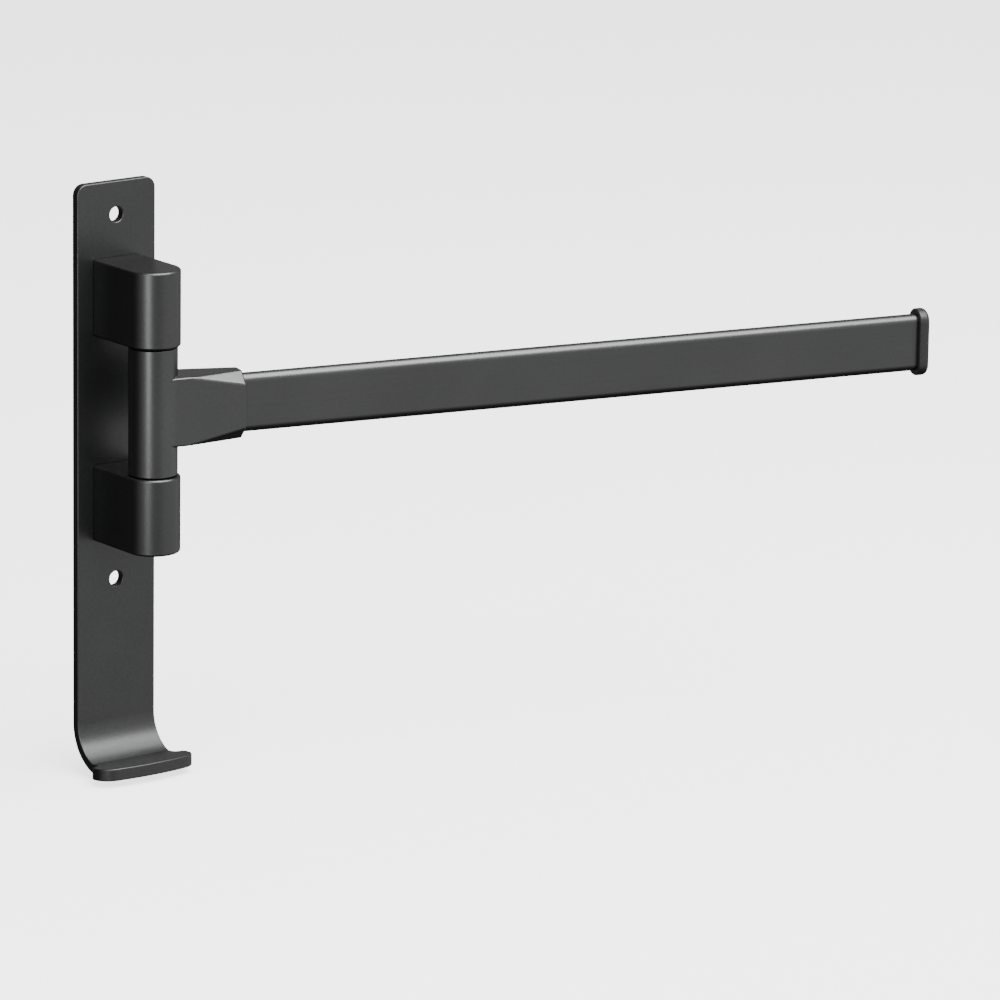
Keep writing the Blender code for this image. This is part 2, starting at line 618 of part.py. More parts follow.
def build():
    aluminium = finish_material("satin_charcoal_plate", (0.045, 0.046, 0.049), 0.42, 0.6)
    lug_finish = finish_material("satin_charcoal_lug", (0.043, 0.044, 0.046), 0.40, 0.6)
    arm_finish = finish_material("satin_charcoal_socket", (0.046, 0.047, 0.049), 0.38, 0.6)
    bar_finish = finish_material("satin_charcoal_bar", (0.045, 0.046, 0.048), 0.40, 0.6)
    cap_finish = finish_material("moulded_charcoal_cap", (0.040, 0.041, 0.043), 0.45, 0.0)
    steel = finish_material("bright_steel", (0.56, 0.57, 0.58), 0.28, 1.0)
    black_steel = finish_material("blackened_steel", (0.03, 0.03, 0.032), 0.45, 0.9)
    spring_steel = finish_material("spring_steel", (0.40, 0.40, 0.41), 0.33, 1.0)
    acetal = finish_material("black_acetal", (0.03, 0.03, 0.03), 0.5, 0.0)

    build_wall_plate(aluminium)
    build_lug("upper_lug", 1, lug_finish)
    build_lug("lower_lug", -1, lug_finish)
    build_lug_screws(black_steel)
    build_pivot(steel, black_steel, spring_steel)

    arm = bpy.data.objects.new("arm_pivot", None)
    PARTS.objects.link(arm)
    place(arm, (0, PIVOT_Y, 0), (0, 0, -REST_SWING))
    build_bushes(acetal, arm)
    build_swivel_socket(arm_finish, arm)
    build_bar_tube(bar_finish, arm)
    build_set_screws(black_steel, arm)
    build_end_cap(cap_finish, arm)


for old in list(bpy.data.objects):
    bpy.data.objects.remove(old, do_unlink=True)
PARTS = new_collection("swivel_towel_rack")
CUTTERS = new_collection("cutters")
build()
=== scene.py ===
# %% [markdown]
# # A swivel towel rack, modelled round its CAD frame
# A narrow wall plate carries two lugs, and a socket turns between them on an upright pin. A flat-sided
# bar stands out from the socket, with a small cap on its end. Everything is aluminium with a satin
# charcoal coating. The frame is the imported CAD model: it gives every size and place, so the lesson starts
# with it and keeps its box, to show at the end that no piece has grown.

# %% Load the frame
import json
import math

import bmesh
import bpy
from mathutils import Matrix, Vector


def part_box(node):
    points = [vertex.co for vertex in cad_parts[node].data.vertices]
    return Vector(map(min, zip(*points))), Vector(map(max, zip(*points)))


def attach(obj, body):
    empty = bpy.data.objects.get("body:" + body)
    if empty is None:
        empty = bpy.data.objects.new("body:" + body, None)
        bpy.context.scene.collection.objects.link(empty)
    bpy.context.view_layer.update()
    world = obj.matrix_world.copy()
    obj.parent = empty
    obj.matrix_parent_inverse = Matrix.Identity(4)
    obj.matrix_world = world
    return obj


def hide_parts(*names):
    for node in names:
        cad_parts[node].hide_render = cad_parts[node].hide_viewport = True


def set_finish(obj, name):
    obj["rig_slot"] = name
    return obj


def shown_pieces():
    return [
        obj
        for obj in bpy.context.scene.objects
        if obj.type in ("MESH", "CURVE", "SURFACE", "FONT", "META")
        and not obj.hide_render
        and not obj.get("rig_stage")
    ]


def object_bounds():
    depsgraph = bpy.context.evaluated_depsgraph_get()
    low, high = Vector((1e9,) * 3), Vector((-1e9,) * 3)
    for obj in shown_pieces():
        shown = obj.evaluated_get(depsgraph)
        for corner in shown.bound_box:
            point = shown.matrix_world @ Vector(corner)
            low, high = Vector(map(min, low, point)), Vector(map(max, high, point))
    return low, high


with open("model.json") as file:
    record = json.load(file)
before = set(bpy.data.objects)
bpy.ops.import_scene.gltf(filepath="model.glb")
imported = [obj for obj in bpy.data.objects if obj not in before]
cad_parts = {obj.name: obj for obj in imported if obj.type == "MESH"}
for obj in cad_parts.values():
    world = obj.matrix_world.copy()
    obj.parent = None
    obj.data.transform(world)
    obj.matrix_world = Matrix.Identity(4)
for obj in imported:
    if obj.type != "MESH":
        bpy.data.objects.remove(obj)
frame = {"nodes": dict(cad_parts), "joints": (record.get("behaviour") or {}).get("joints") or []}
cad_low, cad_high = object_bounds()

cad_size = [round(v * 1000, 1) for v in cad_high - cad_low]
print("CAD nodes:", len(frame["nodes"]), "in a box of", cad_size, "mm")

# %% [markdown]
# ## Sizes
# Places are read from the boxes of the CAD nodes and from the joint. What a box can't say, such as the
# radius of a bend or of a small rounded edge, is a named value in metres here.

# %% Sizes read from the frame
plate_low, plate_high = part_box("wall_plate")
lug_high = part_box("upper_lug")[1]
pin_low, pin_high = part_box("pivot_pin")
plug_low, plug_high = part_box("pin_plug")
socket_low, socket_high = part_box("swivel_socket")
bar_low, bar_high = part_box("bar_tube")
hinge = frame["joints"][0]
PIVOT = Vector(hinge["pos_m"])
REST_SWING = math.radians(-hinge["range_deg"][0])
print("pivot at", [round(v * 1000, 1) for v in PIVOT], "mm, arm out by", round(math.degrees(REST_SWING), 1))

# %% Sizes of bends, walls and edges
SEAT_GAP = 0.0003
PLATE_WIDTH = 0.035
PLATE_THICKNESS = -lug_high.y - SEAT_GAP
WALL_HOLE_RADIUS = 0.0029
WALL_HOLE_TO_LUG = 0.016
WALL_HOLE = lug_high.z + WALL_HOLE_TO_LUG
HOOK_DROP = 0.0544
BEND = -(WALL_HOLE + HOOK_DROP)
HOOK_RADIUS = 0.0141
HOOK_RISE = math.radians(5)
CREASE_REACH = 0.0098
LIP_THICKNESS = 0.0048
LIP_BOW = 0.090
LIP_CORNER = 0.0055
NECK_FRONT = 0.0177
NECK_FILLET = 0.0020
NECK_ROUND = 0.0018
PLATE_CORNER = 0.0042
PLATE_EDGE = 0.0005
LUG_EDGE = 0.0010
LUG_NOSE_FLAT = 0.00002
SCREW_RADIUS = 0.0020
SCREW_CONE = 0.0020
SPARE = 0.002
print("bend at", round(BEND * 1000, 1), "mm, plate", round(PLATE_THICKNESS * 1000, 2), "mm thick")

# %% Sizes of the arm
KNUCKLE_RADIUS = 0.00925
BUSH_BORE_RADIUS = 0.00556
FLANGE_SEAT_RADIUS = 0.0075
FLANGE_SEAT_DEPTH = 0.0012
COLLAR_LENGTH = 0.0347
COLLAR_MOUTH = 0.0073
COLLAR_ROOT = 0.0079
COLLAR_HALF_HEIGHT = 0.01315
COLLAR_FILLET = 0.006
COLLAR_CHAMFER = 0.0047
COLLAR_CHAMFER_START = 0.0116
MOUTH_ROUND = 0.0008
POCKET_GAP = 0.00005
SPIGOT_GAP = 0.0001
KNUCKLE_EDGE = 0.0004
ROOT_FILLET = 0.0009
BAR_THICKNESS = 0.0064
BAR_HEIGHT = bar_high.z - bar_low.z
BAR_ROUND = 0.0030
BAR_WALL = 0.0012
SOCKET_DEPTH = 0.0222
ARM_REACH = 0.3243
CAP_OVERHANG = 0.0021
CAP_THICKNESS = 0.0044
CAP_NOSE = 0.0016
CAP_BACK = 0.0007
SPIGOT_LENGTH = 0.014
print("bar", round(BAR_THICKNESS * 1000, 1), "by", round(BAR_HEIGHT * 1000, 1), "mm")

# %% [markdown]
# ## Modelling helpers
# The pieces are modelled the way a person models at the screen: a primitive goes in at its size, edit
# mode shapes it, and a modifier is applied when it is right. Operators act on whatever is selected, so
# every helper first clears the selection and then picks faces, edges or points by where they are.

# %% Primitives at their size and place
def clear_selection():
    if bpy.context.mode != "OBJECT":
        bpy.ops.object.mode_set(mode="OBJECT")
    bpy.ops.object.select_all(action="DESELECT")


def settle():
    """Apply the new primitive's place, so that its mesh holds it."""
    piece = bpy.context.object
    bpy.ops.object.transform_apply(location=True, rotation=True, scale=True)
    return piece


def block(low, high):
    clear_selection()
    low, high = Vector(low), Vector(high)
    bpy.ops.mesh.primitive_cube_add(size=1, location=(low + high) / 2, scale=high - low)
    return settle()


def round_bar(radius, low, high, place=(0, 0), steps=96):
    """An upright cylinder between two heights."""
    clear_selection()
    centre = (*place, (low + high) / 2)
    bpy.ops.mesh.primitive_cylinder_add(vertices=steps, radius=radius, depth=high - low, location=centre)
    return settle()


def cross_bar(near_radius, far_radius, near, far, height, steps=64):
    """A cylinder or cone along Y, through the plate at a height."""
    clear_selection()
    centre = (0, (near + far) / 2, height)
    bpy.ops.mesh.primitive_cone_add(
        vertices=steps, radius1=near_radius, radius2=far_radius, depth=far - near,
        location=centre, rotation=(math.radians(-90), 0, 0),
    )
    return settle()


print("helpers: block, round_bar and cross_bar")

# %% Picking, bevelling, cutting and joining
def pick(piece, kind, wanted):
    """Open a piece in edit mode with only the wanted faces, edges or points selected."""
    clear_selection()
    piece.select_set(True)
    bpy.context.view_layer.objects.active = piece
    bpy.ops.object.mode_set(mode="EDIT")
    bpy.ops.mesh.select_mode(type=kind)
    bpy.ops.mesh.select_all(action="DESELECT")
    mesh = bmesh.from_edit_mesh(piece.data)
    items = {"VERT": mesh.verts, "EDGE": mesh.edges, "FACE": mesh.faces}[kind]
    chosen = [item for item in items if wanted(item)]
    for item in chosen:
        item.select_set(True)
    bmesh.update_edit_mesh(piece.data)
    return len(chosen)


def middle(edge):
    return (edge.verts[0].co + edge.verts[1].co) / 2


def along(edge, axis):
    """Whether an edge runs along an axis, given as 0, 1 or 2."""
    way = (edge.verts[1].co - edge.verts[0].co).normalized()
    return abs(way[axis]) > 0.999


def near(value, target, reach=1e-5):
    return abs(value - target) < reach


def round_edges(piece, wanted, radius, segments):
    count = pick(piece, "EDGE", wanted)
    bpy.ops.mesh.bevel(offset=radius, segments=segments, profile=0.5, affect="EDGES", clamp_overlap=False)
    clear_selection()
    return count


def bake_modifier(piece, kind, **settings):
    clear_selection()
    piece.select_set(True)
    bpy.context.view_layer.objects.active = piece
    modifier = piece.modifiers.new(kind.lower(), kind)
    for name, value in settings.items():
        setattr(modifier, name, value)
    bpy.ops.object.modifier_apply(modifier=modifier.name)


def cut(piece, tool, operation="DIFFERENCE"):
    bake_modifier(piece, "BOOLEAN", operation=operation, solver="EXACT", object=tool)
    bpy.data.objects.remove(tool, do_unlink=True)
    return piece


def join(piece, other):
    return cut(piece, other, "UNION")


def slice_off(piece, point, outward):
    """Cut the piece with a plane, drop what is outside it and close the cut."""
    pick(piece, "FACE", lambda face: True)
    bpy.ops.mesh.bisect(plane_co=point, plane_no=outward, use_fill=True, clear_outer=True)
    tidy(piece)


def tidy(piece, reach=1e-6):
    """Merge points that lie together, and turn the faces outwards."""
    pick(piece, "FACE", lambda face: True)
    bpy.ops.mesh.remove_doubles(threshold=reach)
    bpy.ops.mesh.select_all(action="SELECT")
    bpy.ops.mesh.normals_make_consistent(inside=False)
    clear_selection()


print("helpers: pick, round_edges, cut, join, slice_off and tidy")

# %% [markdown]
# ## Helpers that finish a piece
# A finished piece has clean outward faces, smooth rounds and flat flats. Weighted normals keep the wide
# flats flat, because each corner leans towards the larger face. The arm's pieces are modelled along +X
# from the pivot, where their sizes are plain numbers, and are then turned to the arm's resting angle.

# %% Finish a piece and turn the arm's pieces
def onto_arm(piece):
    clear_selection()
    piece.select_set(True)
    bpy.context.view_layer.objects.active = piece
    piece.rotation_euler = (0, 0, -REST_SWING)
    piece.location = PIVOT
    bpy.ops.object.transform_apply(location=True, rotation=True, scale=True)


def smooth_and_flat(piece, angle=20):
    tidy(piece)
    piece.select_set(True)
    bpy.context.view_layer.objects.active = piece
    bpy.ops.object.shade_smooth_by_angle(angle=math.radians(angle))
    bake_modifier(piece, "WEIGHTED_NORMAL", keep_sharp=True, weight=60)


def install(piece, name, node, body, slot):
    """Name the piece, let it stand for its CAD node and move with that node's body."""
    piece.name = piece.data.name = name
    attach(piece, body)
    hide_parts(node)
    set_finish(piece, slot)
    mesh = bmesh.new()
    mesh.from_mesh(piece.data)
    open_edges = sum(1 for edge in mesh.edges if not edge.is_manifold)
    mesh.free()
    low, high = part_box(node)
    points = [v.co for v in piece.data.vertices]
    corners = [Vector([limit(axis) for axis in zip(*points)]) for limit in (min, max)]
    grown = max(*(corners[1] - high), *(low - corners[0])) * 1000
    faces = len(piece.data.polygons)
    print(f"{name}: {faces} faces, {open_edges} open edges, {grown:+.2f} mm past CAD")
    return piece


print("helpers: onto_arm, smooth_and_flat and install")

# %% [markdown]
# ## Wall plate: one bent strip
# The real plate is one strip of aluminium, bent forward at its foot. So a flat strip is modelled first,
# and the open foot is spun round the bend, as a bending brake does it. The lip's wedge is joined on, and
# then one cutter with the plate's outline from above trims everything at once: neck, flare, round corners
# and bow.

# %% The strip and its bend
lip_front = plate_low.y
lip_half = plate_high.x
half_width = PLATE_WIDTH / 2
outer_radius = HOOK_RADIUS + PLATE_THICKNESS
bend_centre = Vector((0, -outer_radius, BEND))


def bent_strip():
    strip = block((-lip_half, -PLATE_THICKNESS, BEND), (lip_half, 0, plate_high.z))
    pick(strip, "FACE", lambda face: face.normal.z < -0.9)
    bpy.ops.mesh.delete(type="ONLY_FACE")
    pick(strip, "EDGE", lambda edge: near(middle(edge).z, BEND) and near(abs(edge.verts[0].co.z - BEND), 0))
    turn = math.radians(90) + HOOK_RISE
    bpy.ops.mesh.spin(steps=32, angle=turn, center=bend_centre, axis=(1, 0, 0))
    run = -(lip_front - SPARE) - outer_radius * (1 + math.sin(HOOK_RISE))
    forward = Vector((0, -run, run * math.tan(HOOK_RISE)))
    bpy.ops.mesh.extrude_edges_move(TRANSFORM_OT_translate={"value": forward})
    bpy.ops.mesh.edge_face_add()
    tidy(strip)
    return strip


strip = bent_strip()
print("strip spans", [round(v * 1000, 1) for v in strip.dimensions], "mm")

# %% [markdown]
# ## Lip: a wedge on the strip's end
# The real lip is thicker than the strip, and its top is a flat slope that leaves the bend's curve at a
# crease. It could be a thick plate milled thin elsewhere. Here a block is placed under the crease, its
# front points are pulled to the slope, and it is joined to the strip, so the crease stays sharp and
# exact.

# %% The lip's wedge
def underside(y):
    """The height of the strip's underside in front of the bend."""
    foot = Vector((0, -math.sin(HOOK_RISE), -math.cos(HOOK_RISE))) * outer_radius + bend_centre
    return foot.z + (foot.y - y) * math.tan(HOOK_RISE)


crease_y = -(PLATE_THICKNESS + CREASE_REACH)
crease_z = BEND - math.sqrt(HOOK_RADIUS**2 - (crease_y - bend_centre.y) ** 2)
lip_top = underside(lip_front) + LIP_THICKNESS
lip_slope = (lip_top - crease_z) / (crease_y - lip_front)


def lip_wedge():
    floor = underside(lip_front)
    wedge = block((-lip_half, lip_front, floor), (lip_half, crease_y, crease_z))
    pick(wedge, "VERT", lambda v: near(v.co.y, lip_front))
    bpy.ops.transform.translate(value=(0, -SPARE, 0))
    pick(wedge, "VERT", lambda v: v.co.y < lip_front and near(v.co.z, crease_z))
    bpy.ops.transform.translate(value=(0, 0, lip_top + SPARE * lip_slope - crease_z))
    clear_selection()
    return wedge


join(strip, lip_wedge())
print("lip rises from", round(crease_z * 1000, 2), "to", round(lip_top * 1000, 2), "mm")

# %% [markdown]
# ## Outline: one cutter seen from above
# Seen from above, the lip is wider than the neck, with round corners and a slight bow along its front.
# Rounding the bent strip's own edges would mean picking short edges on a curve. An upright cutter with
# that outline is easier: its corners are plain upright edges, and the overlap of cutter and strip is the
# plate.

# %% The outline cutter
def is_upright_at(edge, y, half_x):
    """Whether an upright edge stands at this Y and this far from the middle."""
    place = edge.verts[0].co
    return along(edge, 2) and near(place.y, y) and near(abs(place.x), half_x)


def outline_cutter():
    top = plate_high.z + SPARE
    cutter = block((-lip_half, lip_front, plate_low.z - SPARE), (lip_half, SPARE, top))
    is_front = lambda edge: along(edge, 2) and near(middle(edge).y, lip_front)
    round_edges(cutter, is_front, LIP_CORNER, 12)
    bow_steps = 12
    for i in range(1 - bow_steps, bow_steps):
        pick(cutter, "FACE", lambda face: True)
        bpy.ops.mesh.bisect(plane_co=(i * (lip_half - LIP_CORNER) / bow_steps, 0, 0), plane_no=(1, 0, 0))
    clear_selection()
    for v in cutter.data.vertices:
        if v.co.y < lip_front + 1.5 * LIP_CORNER:
            v.co.y += LIP_BOW - math.sqrt(LIP_BOW**2 - v.co.x**2)
    for side in (-1, 1):
        ends = sorted((side * half_width, side * (lip_half + SPARE)))
        notch = block((ends[0], -NECK_FRONT, BEND - 0.1), (ends[1], 2 * SPARE, top + SPARE))
        round_edges(notch, lambda edge: is_upright_at(edge, -NECK_FRONT, half_width), NECK_FILLET, 8)
        cut(cutter, notch)
    round_edges(cutter, lambda edge: is_upright_at(edge, -NECK_FRONT, lip_half), NECK_ROUND, 8)
    return cutter


plate = cut(strip, outline_cutter(), "INTERSECT")
tidy(plate, reach=3e-5)
print("trimmed plate has", len(plate.data.polygons), "faces")

# %% [markdown]
# ## Corners, holes and a small round on every edge
# The plate has round top corners, two wall holes and four countersunk holes for the lug screws. Each
# countersink is one cone that runs past both ends of the sink, so no two cut faces lie on each other,
# which a boolean handles badly. A bevel comes last and rounds every sharp edge, as tumbling does on a
# real plate.

# %% Its corners, holes and edges
def at_top_corner(edge):
    at_side = abs(middle(edge).x) > 0.9 * half_width
    return along(edge, 1) and near(middle(edge).z, plate_high.z) and at_side


print("top corners rounded:", round_edges(plate, at_top_corner, PLATE_CORNER, 12))
for side in (-1, 1):
    cut(plate, cross_bar(WALL_HOLE_RADIUS, WALL_HOLE_RADIUS, -0.01, 0.01, side * WALL_HOLE))
screw_nodes = [name for name in frame["nodes"] if "lug_screw" in name]
for name in screw_nodes:
    low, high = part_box(name)
    height = (low.z + high.z) / 2
    head, shank = (high.x - low.x) / 2 + SEAT_GAP, SCREW_RADIUS + SEAT_GAP
    slope = (head - shank) / SCREW_CONE
    cut(plate, cross_bar(shank, shank, -0.01, 0.01, height))
    cut(plate, cross_bar(shank - 0.0005 * slope, head + 0.001 * slope, -0.0025, 0.001, height))
    tidy(plate, reach=3e-6)
bake_modifier(
    plate, "BEVEL", width=PLATE_EDGE, segments=6, limit_method="ANGLE", angle_limit=math.radians(40),
    use_clamp_overlap=False, miter_outer="MITER_ARC",
)
smooth_and_flat(plate)
install(plate, "bent_wall_plate", "wall_plate", "wall_bracket", "satin_charcoal_plate")

# %% [markdown]
# ## Lugs: round-fronted blocks
# From above, each lug is a rectangle with a half-round front about the pivot. So a block at the CAD
# node's place gets its two front edges rounded by half its width, which makes the half round. The rims
# are rounded too, except at the back, where the lug meets the plate. The bores for pin, plug and screws
# come last.

# %% Both lugs
pin_bore = (pin_high.x - pin_low.x) / 2 + SEAT_GAP / 3
plug_bore = (plug_high.x - plug_low.x) / 2 + SEAT_GAP / 3


def lug_block(low, high):
    lug = block(low, high)
    half_width = (high.x - low.x) / 2
    at_front = lambda e: along(e, 2) and near(e.verts[0].co.y, low.y)
    round_edges(lug, at_front, half_width - LUG_NOSE_FLAT, 32)
    on_flat = lambda e: near(e.verts[0].co.z, e.verts[1].co.z) and not along(e, 2)
    at_back = lambda e: near(e.verts[0].co.y, high.y) and near(e.verts[1].co.y, high.y)
    round_edges(lug, lambda e: on_flat(e) and not at_back(e), LUG_EDGE, 6)
    return lug


def screw_bores(lug, side):
    bore = SCREW_RADIUS + SEAT_GAP / 3
    for name in screw_nodes:
        low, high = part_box(name)
        height = (low.z + high.z) / 2
        if height * side > 0:
            cut(lug, cross_bar(bore, bore, low.y - SEAT_GAP, 0.001, height))


for side, node in ((1, "upper_lug"), (-1, "lower_lug")):
    low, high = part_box(node)
    lug = lug_block(low, high)
    if side > 0:
        cut(lug, round_bar(pin_bore, low.z - SPARE, pin_high.z + SEAT_GAP, (0, PIVOT.y)))
    else:
        cut(lug, round_bar(pin_bore, low.z - SPARE, high.z + SPARE, (0, PIVOT.y)))
        cut(lug, round_bar(plug_bore, low.z - SPARE, plug_high.z + SEAT_GAP, (0, PIVOT.y)))
    screw_bores(lug, side)
    smooth_and_flat(lug)
    install(lug, node + "_block", node, "wall_bracket", "satin_charcoal_lug")

# %% [markdown]
# ## Socket: knuckle and collar
# The socket is one casting: an upright knuckle that turns on the pin, and a collar that holds the bar.
# The collar starts as a block and is carved. A cutter with one round edge leaves the 6 mm flare into the
# knuckle, and four slanted planes cut the wedge-shaped chamfers that grow towards the mouth. Its sharp
# edges then get one small round, because cast and blasted edges are never sharp.

# %% The collar
def side_cutter(side):
    """What lies beside the collar: its round edge leaves the flare into the knuckle."""
    fillet_x = math.sqrt((KNUCKLE_RADIUS + COLLAR_FILLET) ** 2 - (COLLAR_ROOT + COLLAR_FILLET) ** 2)
    inner, outer = sorted((side * COLLAR_ROOT, side * 3 * COLLAR_ROOT))
    start, end = fillet_x - COLLAR_FILLET, COLLAR_LENGTH
    tool = block((start, inner, -0.03), (end, outer, 0.03))
    corner = Vector((start, side * COLLAR_ROOT))
    at_corner = lambda edge: along(edge, 2) and (edge.verts[0].co.xy - corner).length < 1e-5
    round_edges(tool, at_corner, COLLAR_FILLET, 16)
    pick(tool, "VERT", lambda v: near(v.co.x, end))
    bpy.ops.transform.translate(value=(0, side * (COLLAR_MOUTH - COLLAR_ROOT), 0))
    bpy.ops.mesh.extrude_region_move(TRANSFORM_OT_translate={"value": (SPARE, 0, 0)})
    clear_selection()
    return tool


def collar_block():
    half = (KNUCKLE_RADIUS / (KNUCKLE_RADIUS + COLLAR_FILLET)) * (COLLAR_ROOT + COLLAR_FILLET)
    collar = block((0, -half, -COLLAR_HALF_HEIGHT), (COLLAR_LENGTH, half, COLLAR_HALF_HEIGHT))
    for side in (-1, 1):
        cut(collar, side_cutter(side))
    share = COLLAR_CHAMFER_START / COLLAR_LENGTH
    start_half = COLLAR_ROOT + (COLLAR_MOUTH - COLLAR_ROOT) * share
    for side_y in (-1, 1):
        for side_z in (-1, 1):
            sides = Vector((1, side_y, side_z))
            start = Vector((COLLAR_CHAMFER_START, start_half, COLLAR_HALF_HEIGHT)) * sides
            low = Vector((COLLAR_LENGTH, COLLAR_MOUTH, COLLAR_HALF_HEIGHT - COLLAR_CHAMFER)) * sides
            top = Vector((COLLAR_LENGTH, COLLAR_MOUTH - COLLAR_CHAMFER, COLLAR_HALF_HEIGHT)) * sides
            slope = (low - start).cross(top - start)
            slope = slope if slope.y * side_y > 0 else -slope
            slice_off(collar, start, slope.normalized())
    inside_knuckle = lambda e: near(e.verts[0].co.x, 0) and near(e.verts[1].co.x, 0)
    is_sharp = lambda e: e.calc_face_angle(0) > math.radians(25) and not inside_knuckle(e)
    print("collar edges rounded:", round_edges(collar, is_sharp, MOUTH_ROUND, 5))
    return collar


collar = collar_block()
print("collar has", len(collar.data.polygons), "faces")

# %% [markdown]
# ## Knuckle, bores and pocket
# The knuckle is a plain cylinder. The collar is joined to it, and the edges where the collar's top and
# bottom meet it get a small hollow fillet, as a casting has. The bore for the bushes, the seats of their
# flanges, the bar's pocket and the two screw holes are cut after that, so that every cut has clean walls.

# %% The knuckle, its bores and the bar's pocket
knuckle = round_bar(KNUCKLE_RADIUS, socket_low.z, socket_high.z)
knuckle_half = (socket_high.z - socket_low.z) / 2
round_edges(knuckle, lambda e: abs(middle(e).z - PIVOT.z) > 0.99 * knuckle_half, KNUCKLE_EDGE, 4)
socket = join(knuckle, collar)
tidy(socket, reach=1e-5)


def at_root(edge):
    """Where the collar's top or bottom meets the knuckle."""
    on_knuckle = all(near(v.co.xy.length, KNUCKLE_RADIUS, 3e-5) for v in edge.verts)
    at_face = all(near(abs(v.co.z), COLLAR_HALF_HEIGHT, 3e-5) for v in edge.verts)
    return on_knuckle and at_face and middle(edge).x > 0 and edge.calc_face_angle(0) > math.radians(60)


print("root edges filleted:", round_edges(socket, at_root, ROOT_FILLET, 4))
cut(socket, round_bar(BUSH_BORE_RADIUS, socket_low.z - SPARE, socket_high.z + SPARE))
cut(socket, round_bar(FLANGE_SEAT_RADIUS, socket_high.z - FLANGE_SEAT_DEPTH, socket_high.z + SPARE))
cut(socket, round_bar(FLANGE_SEAT_RADIUS, socket_low.z - SPARE, socket_low.z + FLANGE_SEAT_DEPTH))


def flat_bar(start, end, half_thickness, half_height, corner, segments=10):
    """A flat bar along X with its four long edges rounded."""
    bar = block((start, -half_thickness, -half_height), (end, half_thickness, half_height))
    round_edges(bar, lambda e: along(e, 0), corner, segments)
    return bar


pocket = (BAR_THICKNESS / 2 + POCKET_GAP, BAR_HEIGHT / 2 + POCKET_GAP, BAR_ROUND + POCKET_GAP)
cut(socket, flat_bar(COLLAR_LENGTH - SOCKET_DEPTH, COLLAR_LENGTH + SPARE, *pocket))
onto_arm(socket)
for name in ("bar_set_screw_inner", "bar_set_screw_outer"):
    low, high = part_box(name)
    centre = (low + high) / 2
    bore = (high.x - low.x) / 2 + POCKET_GAP
    cut(socket, round_bar(bore, low.z - 2 * SPARE, high.z, (centre.x, centre.y), steps=48))
smooth_and_flat(socket)
install(socket, "socket_casting", "swivel_socket", "swing_arm", "satin_charcoal_socket")

# %% [markdown]
# ## Bar and cap
# The bar is drawn tube with flat sides and full rounds at top and bottom, so a block with rounded long
# edges is hollowed by insetting its ends and bridging them. The cap is a short piece of the same shape
# grown by its overhang, with a rounded nose. A spigot under it fills the tube's end.

# %% The bar's tube
bar_start = COLLAR_LENGTH - SOCKET_DEPTH + SEAT_GAP
bar_end = ARM_REACH - CAP_THICKNESS - SEAT_GAP
bar = flat_bar(bar_start, bar_end, BAR_THICKNESS / 2, BAR_HEIGHT / 2, BAR_ROUND, 12)
pick(bar, "FACE", lambda face: abs(face.normal.x) > 0.99)
bpy.ops.mesh.inset(thickness=BAR_WALL, use_even_offset=True)
bpy.ops.mesh.bridge_edge_loops()
onto_arm(bar)
smooth_and_flat(bar, angle=30)
install(bar, "flat_tube", "bar_tube", "swing_arm", "satin_charcoal_bar")

# %% The end cap
cap_back = ARM_REACH - CAP_THICKNESS
cap_half = (BAR_THICKNESS / 2 + CAP_OVERHANG, BAR_HEIGHT / 2 + CAP_OVERHANG, BAR_ROUND + CAP_OVERHANG)
cap = flat_bar(cap_back, ARM_REACH, *cap_half, 16)
at_nose = lambda e: near(e.verts[0].co.x, ARM_REACH) and near(e.verts[1].co.x, ARM_REACH)
at_cap_back = lambda e: near(e.verts[0].co.x, cap_back) and near(e.verts[1].co.x, cap_back)
round_edges(cap, at_nose, CAP_NOSE, 8)
round_edges(cap, at_cap_back, CAP_BACK, 5)
inside = BAR_WALL + SPIGOT_GAP
spigot_half = (BAR_THICKNESS / 2 - inside, BAR_HEIGHT / 2 - inside, BAR_ROUND - inside)
spigot = flat_bar(cap_back - SPIGOT_LENGTH, cap_back + CAP_THICKNESS / 2, *spigot_half, 6)
join(cap, spigot)
onto_arm(cap)
smooth_and_flat(cap)
install(cap, "cap_and_spigot", "end_cap", "swing_arm", "moulded_charcoal_cap")

# %% [markdown]
# ## Finishes
# Every colour and roughness comes from nodes, worked out from object coordinates, so nothing stretches
# and no image is needed. Shader sums are easier to read as plain arithmetic, so a small class wraps a
# node's output and lets `+`, `-`, `*` and `/` add the maths nodes.

# %% Shader arithmetic
class Field:
    """A value in a node tree. Arithmetic on it adds the nodes that work it out."""

    def __init__(self, tree, socket):
        self.tree = tree
        self.socket = socket

    def node(self, kind, settings=None, values=None, output=0):
        """Any other node: its settings are set first, then its values and links."""
        made = self.tree.nodes.new("ShaderNode" + kind)
        for name, value in (settings or {}).items():
            setattr(made, name, value)
        for key, value in (values or {}).items():
            if isinstance(value, Field):
                self.tree.links.new(value.socket, made.inputs[key])
            else:
                made.inputs[key].default_value = value
        return Field(self.tree, made.outputs[output])

    def maths(self, operation, first, second):
        return self.node("Math", {"operation": operation}, {0: first, 1: second})

    def __add__(self, other):
        return self.maths("ADD", self, other)

    def __radd__(self, other):
        return self.maths("ADD", other, self)

    def __sub__(self, other):
        return self.maths("SUBTRACT", self, other)

    def __rsub__(self, other):
        return self.maths("SUBTRACT", other, self)

    def __mul__(self, other):
        return self.maths("MULTIPLY", self, other)

    def __rmul__(self, other):
        return self.maths("MULTIPLY", other, self)

    def __truediv__(self, other):
        return self.maths("DIVIDE", self, other)

    def __rtruediv__(self, other):
        return self.maths("DIVIDE", other, self)

    def into(self, shader, name):
        self.tree.links.new(self.socket, shader.inputs[name])


